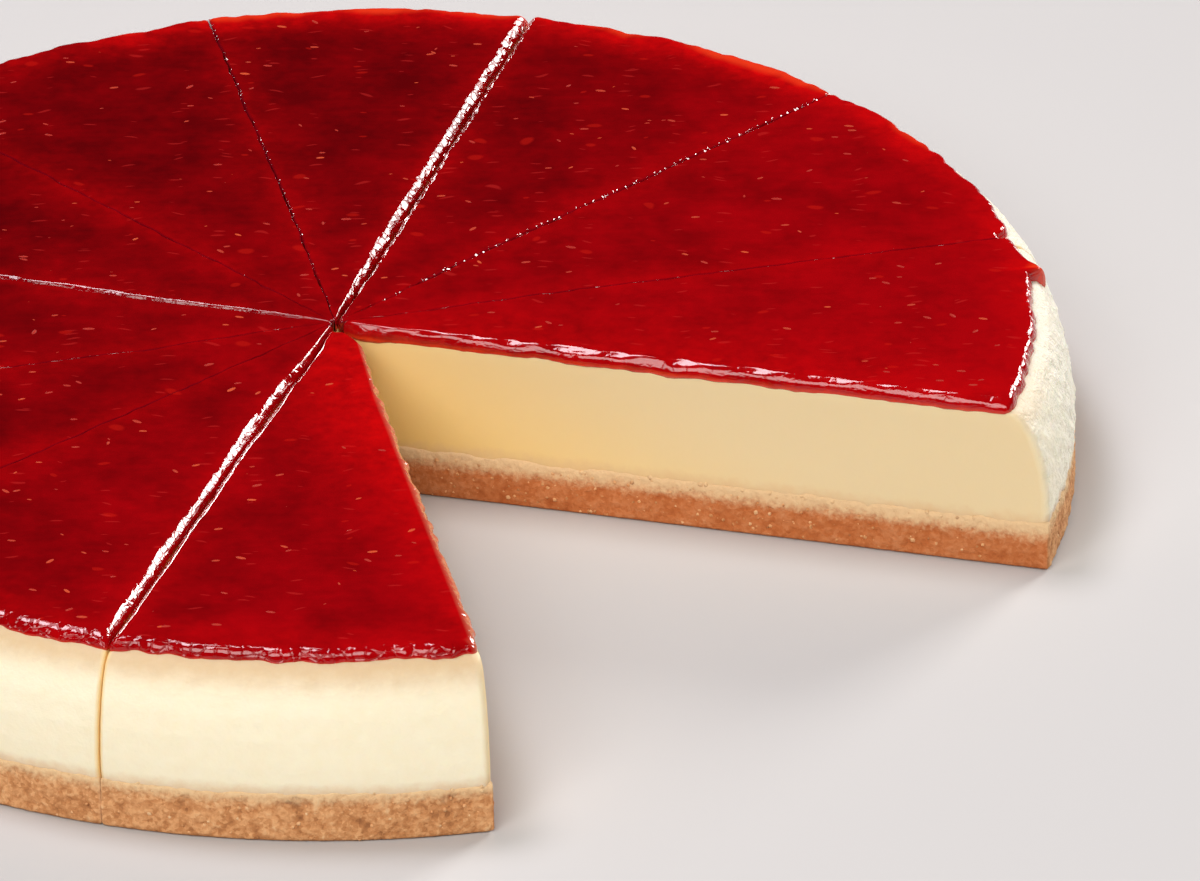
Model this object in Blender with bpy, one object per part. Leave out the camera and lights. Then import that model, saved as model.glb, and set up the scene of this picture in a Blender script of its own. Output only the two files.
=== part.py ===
"""Raspberry cheesecake, portioned, with two neighbouring slices taken out.

Ten slices stand in a ring around the point where the cuts meet. Each slice has three solids:
a biscuit base, a cheese filling and a sheet of raspberry jelly. Lengths are in metres, +Z is up
and the origin is the centre of the round underside.
"""

import math

import bmesh
import bpy
from mathutils import Vector, noise

MM = 0.001

BASE_RADIUS = 130.0 * MM
BASE_HEIGHT = 9.3 * MM
LAYER_GAP = 0.3 * MM
FILLING_TOP = 30.8 * MM
JELLY_TOP = 33.0 * MM
JELLY_RIM = 122.6 * MM

# The cuts meet a little in front of the middle, as they do on a cake cut by hand.
CUT_CENTRE = Vector((-2.5 * MM, -3.9 * MM))
KERF = 0.8 * MM
CUT_BEND = 30.0 * MM
OPEN_BEND = 10.0 * MM

# Direction of each cut in degrees, then how far the knife passed beside the meeting point in mm,
# then how wide the cut opened in the jelly, as the inset of its top edge in mm. The first and the
# last cut are the open faces beside the missing slices.
CUTS = (
    (-15.99, -0.80, 2.8),
    (12.75, 1.04, 1.0),
    (43.55, 0.82, 1.2),
    (74.15, 0.15, 1.9),
    (102.05, -0.45, 1.0),
    (132.22, 0.07, 1.0),
    (161.51, 0.67, 1.2),
    (192.89, 1.56, 1.0),
    (222.19, 0.06, 1.0),
    (252.46, -1.14, 1.9),
    (281.21, 3.55, 2.2),
)

# Height and radius of the outer wall of the filling, from its underside to its flat top.
FILLING_WALL = (
    (BASE_HEIGHT + LAYER_GAP, 129.6 * MM),
    (14.0 * MM, 129.5 * MM),
    (19.0 * MM, 128.8 * MM),
    (23.0 * MM, 127.8 * MM),
    (26.5 * MM, 126.6 * MM),
    (29.0 * MM, 125.1 * MM),
    (30.2 * MM, 123.7 * MM),
    (FILLING_TOP, 122.0 * MM),
)
FILLING_CUT_INSET = (0.0, 0.0, 0.0, 0.0, 0.0, 0.15 * MM, 0.5 * MM, 1.2 * MM)

# Height, radius inset, cut face inset and crumb depth of each ring of a biscuit base.
BASE_RINGS = (
    (0.0, 0.5 * MM, 0.3 * MM, 0.1 * MM),
    (0.9 * MM, 0.0, 0.0, 0.5 * MM),
    (4.6 * MM, 0.0, 0.0, 0.7 * MM),
    (8.3 * MM, 0.05 * MM, 0.0, 0.5 * MM),
    (BASE_HEIGHT, 0.5 * MM, 0.3 * MM, 0.1 * MM),
)

# The jelly thins to this inset at its underside, so that it stays on the rounded filling.
JELLY_FOOT_INSET = 1.4 * MM
TIP_EASE = 26.0 * MM

BASE_ARC = 30
FILLING_ARC = 16
JELLY_ARC = 32
BASE_SIDE = 8
FILLING_SIDE = 5
JELLY_SIDE = 8


def make_material(name, colour, roughness):
    """A plain material with one Principled shader."""
    material = bpy.data.materials.new(name)
    material.use_nodes = True
    shader = material.node_tree.nodes["Principled BSDF"]
    shader.inputs["Base Color"].default_value = (*colour, 1.0)
    shader.inputs["Roughness"].default_value = roughness
    material.diffuse_color = (*colour, 1.0)
    return material


def cut_line(index):
    """Direction, left-hand normal and sideways offset of a cut."""
    degrees, offset, _ = CUTS[index]
    angle = math.radians(degrees)
    along = Vector((math.cos(angle), math.sin(angle)))
    normal = Vector((-math.sin(angle), math.cos(angle)))
    return along, normal, offset * MM


def cut_point(index, side, inset, distance):
    """Point at a distance from the meeting point, inset from one face of a cut.

    side is 1 for the slice to the left of the cut and -1 for the slice to its right. Every cut
    bends into the meeting point over its last part, so no two tips share the same ground. The
    open faces bend in later than the rest.
    """
    along, normal, offset = cut_line(index)
    bend = OPEN_BEND if index in (0, len(CUTS) - 1) else CUT_BEND
    offset *= min(1.0, max(0.0, distance) / bend)
    return CUT_CENTRE + normal * (offset + side * (KERF / 2 + inset)) + along * distance


def tip_point(first, inset):
    """Corner where the two cut faces of a slice meet."""
    along_a = cut_line(first)[0]
    along_b = cut_line(first + 1)[0]
    start_a = cut_point(first, 1, inset, 0.0)
    start_b = cut_point(first + 1, -1, inset, 0.0)
    distance = (start_b - start_a).cross(along_b) / along_a.cross(along_b)
    return start_a + along_a * distance


def reach(index, side, inset, radius):
    """Distance along a cut face at which it reaches the radius."""
    along = cut_line(index)[0]
    start = cut_point(index, side, inset, radius) - along * radius
    lean = start.dot(along)
    return -lean + math.sqrt(lean * lean + radius * radius - start.dot(start))


def outline(first, arc, side_count, radius_at, insets):
    """Closed loop of one slice: tip, first cut face, outer arc, second cut face.

    radius_at gives the outer radius for an angle; insets are the cut insets of both faces.
    """
    tip = tip_point(first, 0.25 * min(insets))
    faces = []
    for index, side, inset in ((first, 1, insets[0]), (first + 1, -1, insets[1])):
        guess = math.radians(CUTS[index][0])
        far = reach(index, side, inset, radius_at(guess))
        near = (tip - CUT_CENTRE).length
        points = []
        for step in range(1, side_count + 1):
            distance = near + (far - near) * step / side_count
            eased = inset * min(1.0, 0.25 + 0.75 * (distance - near) / TIP_EASE)
            points.append(cut_point(index, side, eased, distance))
        faces.append(points)
    start = math.atan2(faces[0][-1].y, faces[0][-1].x)
    end = math.atan2(faces[1][-1].y, faces[1][-1].x)
    if end < start:
        end += math.tau
    rim = []
    for step in range(1, arc):
        angle = start + (end - start) * step / arc
        radius = radius_at(angle)
        rim.append(Vector((radius * math.cos(angle), radius * math.sin(angle))))
    return [tip, *faces[0], *rim, *reversed(faces[1])]


def extrude_through(name, rings, material):
    """Closed solid that runs through a list of rings of (loop, heights)."""
    mesh_data = bmesh.new()
    station = mesh_data.verts.layers.int.new("station")
    corners = []
    loop, heights = rings[0]
    for number, (point, height) in enumerate(zip(loop, heights)):
        corner = mesh_data.verts.new((point.x, point.y, height))
        corner[station] = number
        corners.append(corner)
    bottom = mesh_data.faces.new(corners)
    cap = bottom
    for loop, heights in rings[1:]:
        result = bmesh.ops.extrude_face_region(mesh_data, geom=[cap])
        if cap is not bottom:
            bmesh.ops.delete(mesh_data, geom=[cap], context="FACES_ONLY")
        for item in result["geom"]:
            if isinstance(item, bmesh.types.BMVert):
                point = loop[item[station]]
                item.co = (point.x, point.y, heights[item[station]])
            elif isinstance(item, bmesh.types.BMFace):
                cap = item
    bmesh.ops.poke(mesh_data, faces=[bottom, cap])
    bmesh.ops.recalc_face_normals(mesh_data, faces=mesh_data.faces)
    mesh = bpy.data.meshes.new(name)
    mesh_data.to_mesh(mesh)
    mesh_data.free()
    mesh.materials.append(material)
    node = bpy.data.objects.new(name, mesh)
    bpy.context.collection.objects.link(node)
    return node


def crumbled(loop, height, depth):
    """Loop moved inwards by a crumb relief that differs from place to place."""
    middle = sum(loop, Vector((0.0, 0.0))) / len(loop)
    moved = []
    for point in loop:
        place = Vector((point.x, point.y, height)) * 190.0
        bite = depth * (0.5 + 0.5 * noise.noise(place))
        moved.append(point - (point - middle).normalized() * bite)
    return moved


def filling_height(radius):
    """Height of the filling surface at a radius on its rounded shoulder."""
    previous = FILLING_WALL[-1]
    if radius <= previous[1]:
        return previous[0]
    for height, wall in reversed(FILLING_WALL[:-1]):
        if radius <= wall:
            share = (radius - previous[1]) / (wall - previous[1])
            return previous[0] + (height - previous[0]) * share
        previous = (height, wall)
    return previous[0]


def jelly_rim(angle):
    """Uneven outer radius of the jelly, with one run over the shoulder and one bite."""
    place = Vector((math.cos(angle), math.sin(angle), 0.0))
    wave = 0.9 * noise.noise(place * 9.0) + 0.7 * noise.noise(place * 23.0)
    turn = math.degrees(math.atan2(place.y, place.x))
    run = 2.6 * math.exp(-(((turn - 4.6) / 1.2) ** 2))
    bite = 2.0 * math.exp(-(((turn - 26.0) / 1.6) ** 2))
    return JELLY_RIM + (wave + run - bite) * MM


def add_base(number, material):
    """Biscuit base of one slice."""
    rings = []
    for height, radius_inset, cut_inset, depth in BASE_RINGS:
        radius = BASE_RADIUS - radius_inset
        loop = outline(number, BASE_ARC, BASE_SIDE, lambda angle: radius, (cut_inset, cut_inset))
        loop = crumbled(loop, height, depth)
        rings.append((loop, [height] * len(loop)))
    return extrude_through(f"biscuit_base_{number + 1:02d}", rings, material)


def add_filling(number, material):
    """Cheese filling of one slice."""
    rings = []
    for (height, radius), inset in zip(FILLING_WALL, FILLING_CUT_INSET):
        loop = outline(number, FILLING_ARC, FILLING_SIDE, lambda angle: radius, (inset, inset))
        rings.append((loop, [height] * len(loop)))
    return extrude_through(f"cheese_filling_{number + 1:02d}", rings, material)


def add_jelly(number, material):
    """Jelly sheet of one slice, with a round rim that rests on the shoulder of the filling."""
    open_a = CUTS[number][2] * MM
    open_b = CUTS[number + 1][2] * MM
    # Rim inset, share of the way from the underside to the top, and cut inset as shares of the
    # foot inset and of the opening of the cut.
    sections = (
        (2.4 * MM, 0.0, 1.0, 0.0),
        (0.7 * MM, 0.0, 0.6, 0.0),
        (0.0, 0.35, 0.25, 0.05),
        (0.25 * MM, 0.62, 0.2, 0.15),
        (1.0 * MM, 0.88, 0.1, 0.5),
        (2.6 * MM, 1.0, 0.0, 1.0),
    )
    rings = []
    for rim_inset, share, foot, opening in sections:
        insets = []
        for width in (open_a, open_b):
            insets.append(foot * JELLY_FOOT_INSET + opening * width)
        loop = outline(
            number, JELLY_ARC, JELLY_SIDE, lambda angle: jelly_rim(angle) - rim_inset, insets)
        heights = []
        for point in loop:
            under = filling_height(point.length) + LAYER_GAP
            heights.append(under + (JELLY_TOP - under) * share)
        rings.append((loop, heights))
    return extrude_through(f"raspberry_jelly_{number + 1:02d}", rings, material)


def main():
    """Build all thirty solids."""
    for node in list(bpy.data.objects):
        bpy.data.objects.remove(node)
    biscuit = make_material("biscuit", (0.56, 0.25, 0.10), 0.9)
    cheese = make_material("cheese_filling", (0.94, 0.80, 0.56), 0.55)
    jelly = make_material("raspberry_jelly", (0.30, 0.002, 0.006), 0.12)
    for number in range(len(CUTS) - 1):
        add_base(number, biscuit)
        add_filling(number, cheese)
        add_jelly(number, jelly)


main()
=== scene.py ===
"""Looks of a portioned raspberry cheesecake with two slices taken out.

Every slice is dressed layer by layer: a crumbly biscuit base, a smooth cheese filling and a sheet
of glossy raspberry jelly with torn, rounded edges. Raspberry seeds lie in the jelly and loose
crumbs cling to the base. Sizes in this file are in millimetres, and only the finished meshes are
in metres.
"""

from __future__ import annotations

import logging
import math
from dataclasses import dataclass, field
from enum import Enum
from typing import Callable

import bmesh
import bpy
import numpy as np
from mathutils import Matrix, Vector

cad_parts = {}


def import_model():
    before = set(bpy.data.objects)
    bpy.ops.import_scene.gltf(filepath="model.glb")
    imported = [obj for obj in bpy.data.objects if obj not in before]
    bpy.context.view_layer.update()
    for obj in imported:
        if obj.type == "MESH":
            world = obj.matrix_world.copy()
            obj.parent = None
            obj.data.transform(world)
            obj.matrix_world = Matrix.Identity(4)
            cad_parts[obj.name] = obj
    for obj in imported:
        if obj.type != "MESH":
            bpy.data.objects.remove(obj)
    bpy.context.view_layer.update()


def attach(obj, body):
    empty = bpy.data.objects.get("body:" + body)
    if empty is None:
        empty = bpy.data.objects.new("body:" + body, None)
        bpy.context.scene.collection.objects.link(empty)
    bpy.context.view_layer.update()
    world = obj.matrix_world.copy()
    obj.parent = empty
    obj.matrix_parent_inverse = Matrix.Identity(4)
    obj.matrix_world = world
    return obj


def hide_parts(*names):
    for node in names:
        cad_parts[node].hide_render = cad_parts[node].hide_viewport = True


LOG = logging.getLogger("raspberry_cheesecake")

MM = 0.001

Array = np.ndarray
RimRule = Callable[[Array], Array]
Triple = tuple[float, float, float]
Material = bpy.types.Material
Socket = bpy.types.NodeSocket
Piece = bpy.types.Object


class Layer(Enum):
    """The three layers of a slice, by the name of their solids."""

    BISCUIT = "biscuit_base"
    FILLING = "cheese_filling"
    JELLY = "raspberry_jelly"


class Zone(Enum):
    """Stretches of a slice's outline, in the order in which the outline runs."""

    TIP = 0
    FIRST_CUT = 1
    FIRST_CORNER = 2
    RIM = 3
    LAST_CORNER = 4
    LAST_CUT = 5


class Pattern(Enum):
    """Number that fixes each repeatable pattern."""

    CRUMB_RELIEF = 11
    SKIN = 23
    JELLY_RIM = 37
    WRINKLES = 41
    GLOW = 43
    SEEDS = 53
    LOOSE_CRUMBS = 67
    TORN_CUTS = 71


@dataclass(frozen=True)
class Cut:
    """One cut of the knife.

    Args:
        angle: direction in degrees.
        miss: how far the knife passed beside the meeting point.
        groove: width of the rounded jelly edge on each side.
        parting: half the width of the slit between two jelly edges.
        wet: how wrinkled the torn jelly edge is, from 0 to 1.
        stroke: how much longer than wide the wrinkles are.
        chamfer: how flat the jelly edge slopes, from 1 for a plain round.
        free: whether the face beside it looks into the gap of the missing slices.
    """

    angle: float
    miss: float
    groove: float
    parting: float
    wet: float
    stroke: float = 1.3
    chamfer: float = 1.0
    free: bool = False

    @property
    def along(self) -> Array:
        """Direction of the cut."""
        turn = math.radians(self.angle)
        return np.array([math.cos(turn), math.sin(turn)])

    @property
    def normal(self) -> Array:
        """Direction across the cut, to its left."""
        turn = math.radians(self.angle)
        return np.array([-math.sin(turn), math.cos(turn)])


CUTS = (
    Cut(-15.99, -0.80, 2.2, 0.30, 0.52, stroke=2.8, free=True),
    Cut(12.75, 1.04, 0.45, 0.03, 0.50),
    Cut(43.55, 0.82, 0.80, 0.04, 0.95),
    Cut(74.15, 0.15, 1.9, 0.08, 0.90, stroke=1.2, chamfer=1.3),
    Cut(102.05, -0.45, 0.55, 0.04, 0.65),
    Cut(132.22, 0.07, 0.42, 0.03, 0.55),
    Cut(161.51, 0.67, 1.0, 0.05, 0.65, stroke=2.6),
    Cut(192.89, 1.56, 0.40, 0.03, 0.45),
    Cut(222.19, 0.06, 0.40, 0.03, 0.45),
    Cut(252.46, -1.14, 1.9, 0.08, 0.62, stroke=2.6, chamfer=1.25),
    Cut(281.21, 3.50, 1.9, 0.62, 0.60, free=True),
)


@dataclass(frozen=True)
class CakeSizes:
    """Sizes that the layers share.

    Args:
        centre: point where the cuts meet.
        base_radius: mean radius of the base.
        base_limit: radius that nothing passes.
        base_top: height of the base.
        filling_top: height of the filling's top.
        jelly_top: height of the jelly's top.
        jelly_rim: mean radius of the jelly.
        kerf: half width of a closed cut in the filling.
        free_kerf: how far an open face of the filling stands back from its cut.
        bend: where a closed cut starts to leave the meeting point, and over what length.
        free_bend: the same for an open face.
        tip_ease: length over which an edge reaches its full width from the tip.
        slices: how many slices there are.
        wall: height and radius of the filling's outer wall.
    """

    centre: tuple[float, float] = (-2.5, -3.9)
    base_radius: float = 129.35
    base_limit: float = 129.72
    base_top: float = 9.3
    filling_top: float = 30.8
    jelly_top: float = 32.82
    jelly_rim: float = 122.2
    kerf: float = 0.06
    free_kerf: float = 0.36
    bend: tuple[float, float] = (8.0, 30.0)
    free_bend: tuple[float, float] = (0.0, 9.0)
    tip_ease: float = 26.0
    slices: int = 10
    wall: tuple[tuple[float, float], ...] = (
        (8.4, 129.0),
        (11.0, 129.35),
        (14.0, 129.3),
        (19.0, 128.7),
        (23.0, 127.7),
        (26.5, 126.4),
        (29.0, 124.9),
        (30.2, 123.5),
        (30.8, 121.8),
    )

    def gap(self, cut: Cut) -> float:
        """Half width of a cut in the filling and the base."""
        return self.free_kerf if cut.free else self.kerf

    def across(self, cut: Cut, reach: Array) -> Array:
        """How far a cut lies beside the meeting point.

        Args:
            cut: the cut.
            reach: distances from the meeting point.

        Returns:
            Offset at each distance.
        """
        start, length = self.free_bend if cut.free else self.bend
        bend = np.clip((reach - start) / length, 0.0, 1.0)
        return cut.miss * bend * bend * (3.0 - 2.0 * bend)

    def wall_radius(self, height: Array) -> Array:
        """Radius of the filling's wall at a height."""
        heights, radii = np.array(self.wall).T
        return np.interp(height, heights, radii)

    def shoulder_height(self, radius: Array) -> Array:
        """Height of the filling's surface at a radius on its shoulder."""
        heights, radii = np.array(self.wall[1:]).T
        return np.interp(radius, radii[::-1], heights[::-1])


SIZES = CakeSizes()


class Grain:
    """Repeatable noise on arrays of points.

    GAIN brings the smooth noise to about -1 to 1.
    """

    GAIN = 1.7

    def __init__(self, pattern: Pattern) -> None:
        """Draws the tables.

        Args:
            pattern: which pattern it is.
        """
        draw = np.random.default_rng(pattern.value)
        order = draw.permutation(256)
        self.order = np.concatenate([order, order, order])
        slopes = draw.normal(size=(256, 3))
        self.slopes = slopes / np.linalg.norm(slopes, axis=1, keepdims=True)
        self.jitter = draw.random((256, 3))

    def _key(self, cell: Array) -> Array:
        """Table entry of each lattice cell."""
        x, y, z = (cell % 256).T
        return self.order[self.order[self.order[x] + y] + z]

    def cloud(self, points: Array, size: float) -> Array:
        """Smooth noise.

        Args:
            points: positions, one per row.
            size: width of one swell.

        Returns:
            Values from about -1 to 1.
        """
        scaled = points / size
        cell = np.floor(scaled).astype(int)
        local = scaled - cell
        ease = local**3 * (local * (local * 6.0 - 15.0) + 10.0)
        total = np.zeros(len(points))
        for corner in np.ndindex(2, 2, 2):
            step = np.array(corner)
            slope = self.slopes[self._key(cell + step)]
            weight = np.prod(np.where(step == 1, ease, 1.0 - ease), axis=1)
            total += weight * ((local - step) * slope).sum(axis=1)
        return total * self.GAIN

    def clumps(self, points: Array, size: float) -> Array:
        """Rounded lumps with creases between them.

        Args:
            points: positions, one per row.
            size: width of one lump.

        Returns:
            Values from 1 at the middle of a lump to 0 in a crease.
        """
        scaled = points / size
        cell = np.floor(scaled).astype(int)
        nearest = np.full(len(points), 9.0)
        for corner in np.ndindex(3, 3, 3):
            beside = cell + np.array(corner) - 1
            middle = beside + self.jitter[self._key(beside)]
            nearest = np.minimum(nearest, np.linalg.norm(scaled - middle, axis=1))
        return np.clip(1.0 - nearest, 0.0, 1.0)


@dataclass(frozen=True)
class Spacing:
    """How many points an outline has on each stretch.

    Args:
        tip: points round the tip.
        first: points on the first cut face.
        corner: points round each outer corner.
        rim: points on the outer arc.
        last: points on the second cut face.
    """

    tip: int
    first: int
    corner: int
    rim: int
    last: int

    @property
    def total(self) -> int:
        """Number of points on the closed outline."""
        return self.tip + self.first + 2 * self.corner + self.rim + self.last

    def zones(self) -> Array:
        """Zone number of each point."""
        counts = (self.tip, self.first, self.corner, self.rim, self.corner, self.last)
        return np.repeat([zone.value for zone in Zone], counts)

    def rim_share(self) -> Array:
        """How much each point belongs to the rim.

        Returns:
            From 0 on a cut face to 1.
        """
        rise = np.linspace(0.0, 1.0, self.corner)
        parts = (np.zeros(self.tip + self.first), rise, np.ones(self.rim), rise[::-1], np.zeros(self.last))
        return np.concatenate(parts)

    def last_share(self) -> Array:
        """How much each point belongs to the second cut.

        Returns:
            From 0 at the first cut to 1.
        """
        tip = np.linspace(1.0, 0.0, self.tip)
        rim = np.linspace(0.0, 1.0, self.rim)
        parts = (tip, np.zeros(self.first + self.corner), rim, np.ones(self.corner + self.last))
        return np.concatenate(parts)


class WedgeOutline:
    """Rounded outline of one slice at any inset from its cut faces and rim."""

    def __init__(self, number: int, spacing: Spacing) -> None:
        """Keeps which slice the outline is of.

        Args:
            number: slice number from 0.
            spacing: points on each stretch.
        """
        self.spacing = spacing
        self.first = CUTS[number]
        self.last = CUTS[number + 1]
        self.centre = np.array(SIZES.centre)
        self.tear = Grain(Pattern.TORN_CUTS)

    def _stray(self, cut: Cut, reach: Array) -> Array:
        """How a closed cut wanders in the torn jelly, the same for both its slices.

        Args:
            cut: the cut.
            reach: distances from the meeting point.

        Returns:
            Shift across the cut at each distance.
        """
        if cut.free:
            return np.zeros(len(reach))
        spots = np.column_stack([reach, np.full(len(reach), cut.angle), np.zeros(len(reach))])
        wander = self.tear.cloud(spots, 7.0) + 0.5 * self.tear.cloud(spots, 2.6)
        return wander * np.clip(reach / 9.0, 0.0, 1.0) * 0.35 / max(cut.groove, 0.35)

    def _face_point(self, cut: Cut, side: int, offset: Array, reach: Array) -> Array:
        """Points at a distance along a cut and offset to one side of it."""
        across = SIZES.across(cut, reach) + side * offset
        return self.centre + across[:, None] * cut.normal + reach[:, None] * cut.along

    def _corner(self, cut: Cut, side: int, offset: float, radius: RimRule, inset: float) -> Array:
        """Centre of the round of an outer corner.

        Args:
            cut: cut beside the corner.
            side: 1 for the slice to its left, -1 for the other.
            offset: distance from the cut.
            radius: outer radius for an angle.
            inset: distance from the outer radius.

        Returns:
            The centre.
        """
        start = self.centre + cut.normal * (cut.miss + side * offset)
        turn = math.radians(cut.angle)
        lean = float(start @ cut.along)
        for _ in range(4):
            wanted = float(radius(np.array([turn]))[0]) - inset
            reach = -lean + math.sqrt(lean * lean + wanted * wanted - float(start @ start))
            point = start + cut.along * reach
            turn = math.atan2(point[1], point[0])
        return point

    def loop(
        self,
        radius: RimRule,
        rim_inset: float,
        cut_insets: tuple[float, float],
        rounds: Triple,
        gaps: tuple[float, float],
        sway: float = 0.0,
    ) -> Array:
        """Closed loop of points.

        Args:
            radius: outer radius for an angle.
            rim_inset: inset from the rim.
            cut_insets: inset from both cut faces.
            rounds: radius of the tip and of both outer corners.
            gaps: half width of both cuts.
            sway: how far closed cuts wander.

        Returns:
            One point per row, anticlockwise.
        """
        tip_round = rounds[0]
        inward = np.array([self.first.normal, -self.last.normal])
        starts = np.array([gaps[0] + 0.25 * cut_insets[0], gaps[1] + 0.25 * cut_insets[1]])
        tip = self.centre + np.linalg.solve(inward, starts + tip_round)
        faces, corners = [], []
        settings = ((self.first, 1, 0, self.spacing.first), (self.last, -1, 1, self.spacing.last))
        for cut, side, place, count in settings:
            full = gaps[place] + cut_insets[place] + rounds[place + 1]
            corner = self._corner(cut, side, full, radius, rim_inset + rounds[place + 1])
            near = float((tip - self.centre) @ cut.along)
            far = float((corner - self.centre) @ cut.along)
            reach = np.linspace(near, far, count + 2)[1:-1]
            ease = np.clip((reach - near) / SIZES.tip_ease, 0.0, 1.0)
            offset = gaps[place] + cut_insets[place] * (0.25 + 0.75 * ease)
            stray = sway * self._stray(cut, reach) * np.clip((far - reach) / 4.0, 0.0, 1.0)
            faces.append(self._face_point(cut, side, offset, reach) + stray[:, None] * cut.normal)
            corners.append(corner)
        tip_arc = self._arc(tip, -inward[1], -inward[0], tip_round, self.spacing.tip)
        outward = [corner / np.linalg.norm(corner) for corner in corners]
        count = self.spacing.corner
        first_arc = self._arc(corners[0], -inward[0], outward[0], rounds[1], count)
        last_arc = self._arc(corners[1], outward[1], -inward[1], rounds[2], count)
        start = math.atan2(corners[0][1], corners[0][0])
        end = math.atan2(corners[1][1], corners[1][0])
        end += math.tau if end < start else 0.0
        turns = np.linspace(start, end, self.spacing.rim + 2)[1:-1]
        spoke = np.stack([np.cos(turns), np.sin(turns)], axis=1)
        rim = spoke * (radius(turns) - rim_inset)[:, None]
        return np.concatenate([tip_arc, faces[0], first_arc, rim, last_arc, faces[1][::-1]])

    def blend(self, first: float, last: float) -> Array:
        """Value that changes round the slice from one cut to the other.

        Args:
            first: value at the first cut.
            last: value at the second cut.

        Returns:
            Value at each point.
        """
        late = self.spacing.last_share()
        return first * (1.0 - late) + last * late

    @staticmethod
    def _arc(middle: Array, start: Array, end: Array, radius: float, count: int) -> Array:
        """Points of a round, anticlockwise.

        Args:
            middle: its centre.
            start: direction of its first point.
            end: direction of its last point.
            radius: its radius.
            count: how many points.

        Returns:
            One point per row.
        """
        begin = math.atan2(start[1], start[0])
        sweep = (math.atan2(end[1], end[0]) - begin) % math.tau
        turns = begin + sweep * np.linspace(0.0, 1.0, count)
        return middle + radius * np.stack([np.cos(turns), np.sin(turns)], axis=1)

    def heart(self) -> Array:
        """Finds the middle of the slice.

        Returns:
            Point that is as far from both cuts as from the rim.
        """
        inward = np.array([self.first.normal, -self.last.normal])
        half = math.radians(self.last.angle - self.first.angle) / 2.0
        depth = SIZES.jelly_rim * math.sin(half) / (1.0 + math.sin(half))
        return self.centre + np.linalg.solve(inward, np.array([depth, depth]))

    def narrowed(self, loop: Array, share: float) -> Array:
        """Draws a ring in towards the middle of the slice.

        Args:
            loop: points of the ring.
            share: how far, from 0 to 1 at the middle.

        Returns:
            Plan of the new ring.
        """
        heart = self.heart()
        return heart + (loop[:, :2] - heart) * (1.0 - share)


def at_height(loop: Array, height: float = 0.0) -> Array:
    """Points of a plan at one height."""
    return np.column_stack([loop, np.full(len(loop), height)])


def kept_inside(loop: Array) -> Array:
    """Moves the points of a loop that stand out too far back to the limit."""
    radius = np.linalg.norm(loop, axis=1, keepdims=True)
    return loop * np.minimum(1.0, SIZES.base_limit / radius)


def outward_normals(loop: Array) -> Array:
    """Unit normals of a loop, pointing out of it.

    Args:
        loop: anticlockwise points.

    Returns:
        One normal per row.
    """
    run = np.roll(loop, -1, axis=0) - np.roll(loop, 1, axis=0)
    normals = np.stack([run[:, 1], -run[:, 0]], axis=1)
    return normals / np.linalg.norm(normals, axis=1, keepdims=True)


@dataclass
class Shell:
    """Rings of points that make one closed skin, from underside to top.

    Args:
        rings: one array of points per ring, in millimetres.
        marks: named values, one array per ring and name.
    """

    rings: list[Array] = field(default_factory=list)
    marks: dict[str, list[Array]] = field(default_factory=dict)

    def add(self, loop: Array, heights: Array | float, **marks: Array | float) -> None:
        """Adds one ring.

        Args:
            loop: plan of the ring.
            heights: height of each point.
            marks: named values of each point.
        """
        flat = np.broadcast_to(np.asarray(heights, dtype=float), (len(loop),))
        self.rings.append(np.column_stack([loop, flat]))
        for name, values in marks.items():
            spread = np.broadcast_to(np.asarray(values, dtype=float), (len(loop),))
            self.marks.setdefault(name, []).append(spread)

    def to_object(self, name: str, material: Material) -> Piece:
        """Bends a grid into the shell and closes it.

        Args:
            name: name of the piece.
            material: its finish.

        Returns:
            The piece, with its place in its mesh.
        """
        count = len(self.rings[0])
        skin = bmesh.new()
        bmesh.ops.create_grid(skin, x_segments=count, y_segments=len(self.rings) - 1, size=1.0)
        layers = {mark: skin.verts.layers.float.new(mark) for mark in self.marks}
        points = np.array(self.rings) * MM
        values = {mark: np.array(rows) for mark, rows in self.marks.items()}
        skin.verts.ensure_lookup_table()
        for index, vertex in enumerate(skin.verts):
            ring, station = divmod(index, count + 1)
            station %= count
            vertex.co = points[ring, station]
            for mark, layer in layers.items():
                vertex[layer] = values[mark][ring, station]
        seam = [vertex for index, vertex in enumerate(skin.verts) if index % (count + 1) in (0, count)]
        bmesh.ops.remove_doubles(skin, verts=seam, dist=1e-7)
        ends = [edge for edge in skin.edges if edge.is_boundary]
        caps = bmesh.ops.holes_fill(skin, edges=ends, sides=0)["faces"]
        bmesh.ops.poke(skin, faces=caps)
        bmesh.ops.recalc_face_normals(skin, faces=skin.faces)
        return finish_mesh(skin, name, material)


def finish_mesh(skin: bmesh.types.BMesh, name: str, material: Material) -> Piece:
    """Turns a bmesh into a smooth-shaded piece.

    Args:
        skin: the mesh, which is freed.
        name: name of the piece.
        material: its finish.

    Returns:
        The new object.
    """
    for face in skin.faces:
        face.smooth = True
    mesh = bpy.data.meshes.new(name)
    skin.to_mesh(mesh)
    skin.free()
    mesh.materials.append(material)
    piece = bpy.data.objects.new(name, mesh)
    bpy.context.scene.collection.objects.link(piece)
    return piece


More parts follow.
